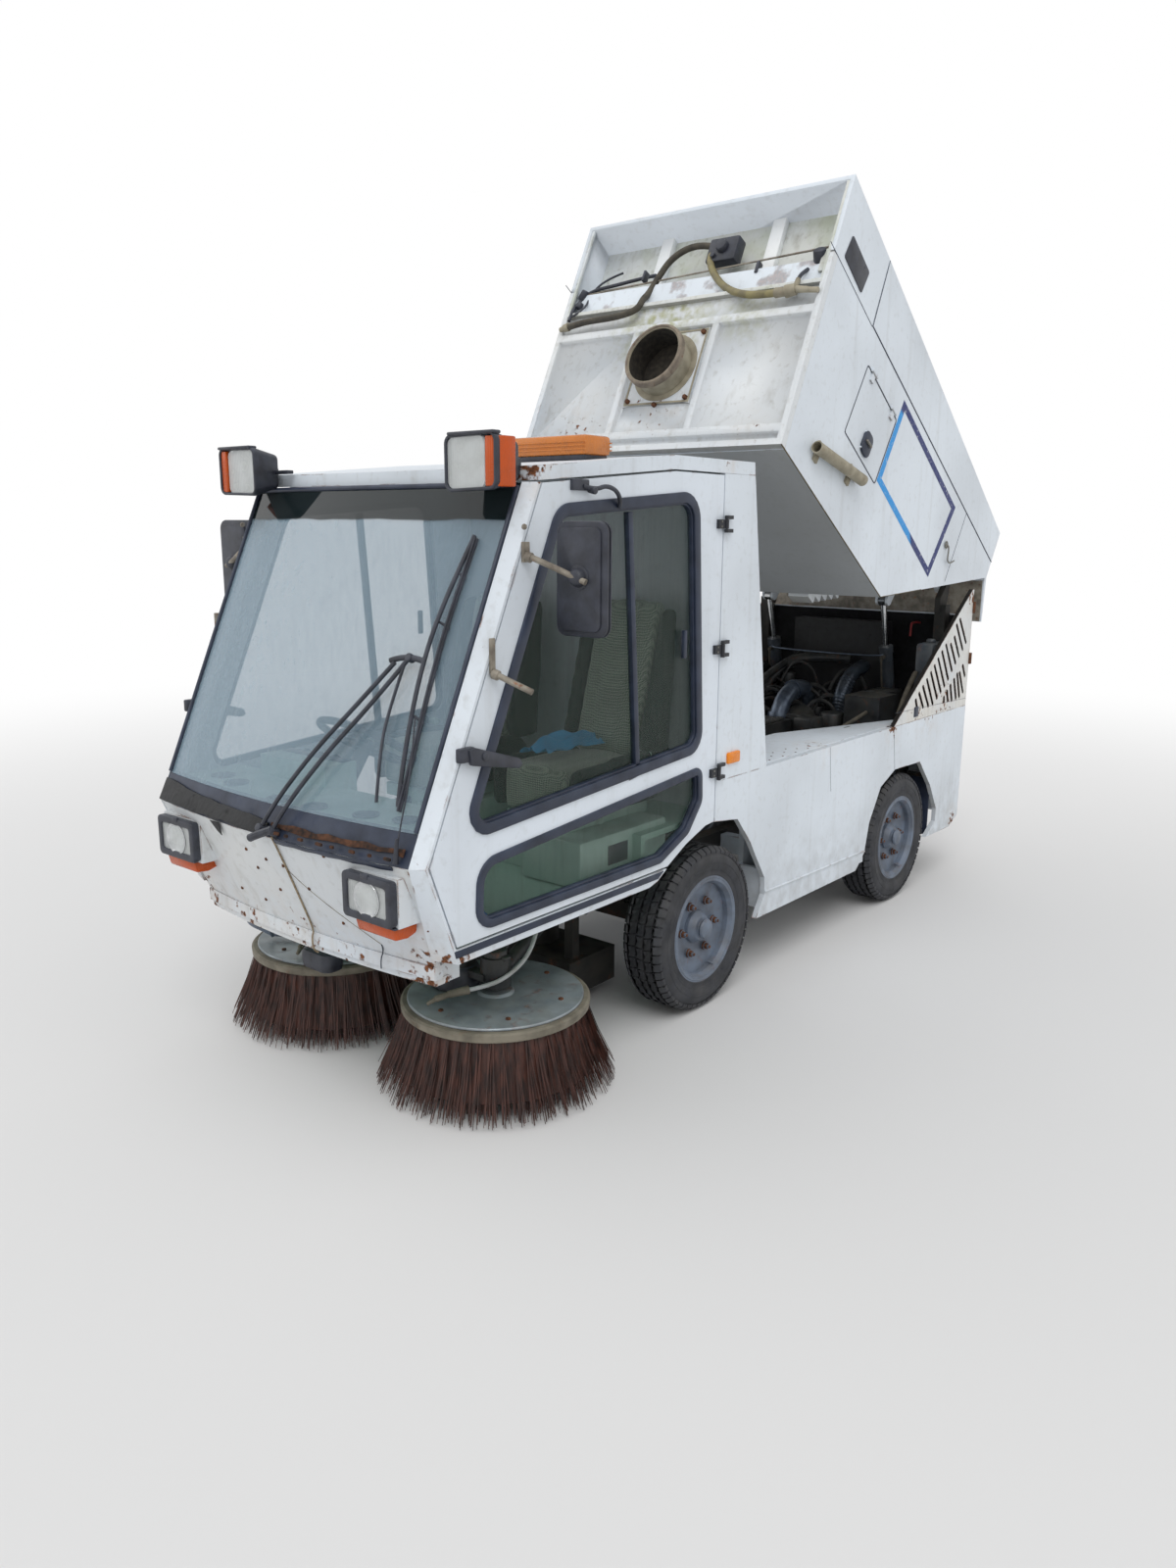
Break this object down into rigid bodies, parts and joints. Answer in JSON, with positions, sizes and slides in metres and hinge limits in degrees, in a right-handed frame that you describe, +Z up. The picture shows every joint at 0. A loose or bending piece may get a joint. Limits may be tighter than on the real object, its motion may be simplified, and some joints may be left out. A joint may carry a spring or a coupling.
{
  "type": "compact road sweeper",
  "caption": "Compact road sweeper with twin front brushes, full-width glazed cab and a white tipping hopper held raised on two lift cylinders",
  "frame": {"origin": "on the floor, at the middle of the vehicle's box as it stands with the hopper raised", "axes": "+X to the vehicle's left, +Y to its rear, +Z up"},
  "size_m": [2.0166, 4.3514, 3.186],
  "materials": {
    "white_paint": "weathered gloss enamel with rust at the edges",
    "chassis_paint": "matt black chassis paint",
    "grey_metal": "oily cast surface",
    "rim_paint": "blue-grey enamel, worn",
    "tyre": "dusty",
    "clear_glass": "tinted safety glass",
    "lamp_lens": "moulded lens",
    "black_plastic": "moulded, faded",
    "mint_plastic": "moulded",
    "seat_cloth": "woven",
    "galvanised": "galvanised",
    "piston": "bright",
    "bristle": "splayed tufts"
  },
  "bodies": {
    "root": {"chassis_frame": "chassis_paint", "side_panels": "white_paint", "grille_panels": "white_paint", "rear_panel": "white_paint", "engine": "grey_metal", "radiator": "grey_metal", "fan_and_tank": "grey_metal", "cab_roof": "white_paint", "cab_pillars": "white_paint", "cab_floor": "white_paint", "cab_back": "white_paint", "windscreen": "clear_glass", "cowl": "black_plastic", "nose_panel": "white_paint", "apron": "white_paint", "front_lamps": "lamp_lens", "roof_lamps": "lamp_lens", "wipers": "black_plastic", "dashboard": "mint_plastic", "steering_wheel": "black_plastic", "seats": "seat_cloth", "front_axle": "chassis_paint", "rear_axle": "chassis_paint", "suction_nozzle": "black_plastic", "suction_duct": "black_plastic"},
    "door_left": {"door_left": "white_paint", "door_glass_left": "clear_glass", "mirror_left": "black_plastic"},
    "door_right": {"door_right": "white_paint", "door_glass_right": "clear_glass", "mirror_right": "black_plastic"},
    "knuckle_left": {"knuckle_left": "chassis_paint"},
    "knuckle_right": {"knuckle_right": "chassis_paint"},
    "track_rod": {"track_rod": "chassis_paint"},
    "wheel_front_left": {"tyre_front_left": "tyre", "rim_front_left": "rim_paint"},
    "wheel_front_right": {"tyre_front_right": "tyre", "rim_front_right": "rim_paint"},
    "wheel_rear_left": {"tyre_rear_left": "tyre", "rim_rear_left": "rim_paint"},
    "wheel_rear_right": {"tyre_rear_right": "tyre", "rim_rear_right": "rim_paint"},
    "brush_arm_left": {"brush_arm_left": "chassis_paint"},
    "brush_arm_right": {"brush_arm_right": "chassis_paint"},
    "brush_left": {"brush_left": "bristle"},
    "brush_right": {"brush_right": "bristle"},
    "hopper": {"hopper_body": "white_paint", "hopper_front": "white_paint", "inlet_spigot": "white_paint", "hopper_hood": "white_paint", "hopper_pipes": "black_plastic", "side_tube": "galvanised"},
    "lid": {"hopper_lid": "white_paint"},
    "hatch_left": {"hatch_left": "white_paint"},
    "hatch_right": {"hatch_right": "white_paint"},
    "barrels": {"lift_barrels": "chassis_paint"},
    "rods": {"lift_rods": "piston"}
  },
  "joints": [
    {"name": "hopper_tip", "type": "hinge", "parent": "root", "child": "hopper", "pos_m": [0, 1.83836, 1.545], "axis": [1, 0, 0], "range_deg": [0, 33]},
    {"name": "hopper_lid_hinge", "type": "hinge", "parent": "hopper", "child": "lid", "pos_m": [0, 0.61605, 2.94021], "axis": [1, 0, 0], "range_deg": [0, 50]},
    {"name": "hatch_left_hinge", "type": "hinge", "parent": "hopper", "child": "hatch_left", "pos_m": [0.676, 0.61702, 2.40373], "axis": [0, -0.8387, 0.5446], "range_deg": [0, 80]},
    {"name": "hatch_right_hinge", "type": "hinge", "parent": "hopper", "child": "hatch_right", "pos_m": [-0.676, 0.61702, 2.40373], "axis": [0, 0.8387, -0.5446], "range_deg": [0, 80]},
    {"name": "barrel_swing", "type": "hinge", "parent": "root", "child": "barrels", "pos_m": [0, 1.70836, 0.56], "axis": [1, 0, 0], "range_deg": [-4.5, 0.5]},
    {"name": "rod_stroke", "type": "slide", "parent": "barrels", "child": "rods", "axis": [0, -0.26, 0.9656], "range_m": [-0.215, 0.005]},
    {"name": "door_left_hinge", "type": "hinge", "parent": "root", "child": "door_left", "pos_m": [0.692, -0.62664, 1.4], "axis": [0, 0, 1], "range_deg": [0, 80]},
    {"name": "door_right_hinge", "type": "hinge", "parent": "root", "child": "door_right", "pos_m": [-0.692, -0.62664, 1.4], "axis": [0, 0, -1], "range_deg": [0, 80]},
    {"name": "steer_left", "type": "hinge", "parent": "root", "child": "knuckle_left", "pos_m": [0.5, -0.64664, 0.325], "axis": [0, 0, 1], "range_deg": [-28, 28]},
    {"name": "steer_right", "type": "hinge", "parent": "root", "child": "knuckle_right", "pos_m": [-0.5, -0.64664, 0.325], "axis": [0, 0, 1], "range_deg": [-28.5, 28.5]},
    {"name": "track_rod_slide", "type": "slide", "parent": "root", "child": "track_rod", "axis": [1, 0, 0], "range_m": [-0.058, 0.058]},
    {"name": "wheel_front_left_spin", "type": "hinge", "parent": "knuckle_left", "child": "wheel_front_left", "pos_m": [0.587, -0.64664, 0.325], "axis": [1, 0, 0], "continuous": true},
    {"name": "wheel_front_right_spin", "type": "hinge", "parent": "knuckle_right", "child": "wheel_front_right", "pos_m": [-0.587, -0.64664, 0.325], "axis": [1, 0, 0], "continuous": true},
    {"name": "wheel_rear_left_spin", "type": "hinge", "parent": "root", "child": "wheel_rear_left", "pos_m": [0.587, 1.07836, 0.325], "axis": [1, 0, 0], "continuous": true},
    {"name": "wheel_rear_right_spin", "type": "hinge", "parent": "root", "child": "wheel_rear_right", "pos_m": [-0.587, 1.07836, 0.325], "axis": [1, 0, 0], "continuous": true},
    {"name": "brush_arm_left_lift", "type": "hinge", "parent": "root", "child": "brush_arm_left", "pos_m": [0.345, -1.03664, 0.455], "axis": [-1, 0, 0], "range_deg": [0, 10]},
    {"name": "brush_arm_right_lift", "type": "hinge", "parent": "root", "child": "brush_arm_right", "pos_m": [-0.345, -1.03664, 0.455], "axis": [-1, 0, 0], "range_deg": [0, 10]},
    {"name": "brush_left_spin", "type": "hinge", "parent": "brush_arm_left", "child": "brush_left", "pos_m": [0.42, -1.55664, 0.29], "axis": [0, 0, 1], "continuous": true},
    {"name": "brush_right_spin", "type": "hinge", "parent": "brush_arm_right", "child": "brush_right", "pos_m": [-0.42, -1.55664, 0.29], "axis": [0, 0, -1], "continuous": true}
  ],
  "couplings": [
    {"joint": "barrel_swing", "follows": "hopper_tip", "ratio": -0.11371},
    {"joint": "rod_stroke", "follows": "hopper_tip", "m_per_rad": -0.36515},
    {"joint": "steer_right", "follows": "steer_left", "ratio": 1},
    {"joint": "track_rod_slide", "follows": "steer_left", "m_per_rad": -0.11528}
  ]
}
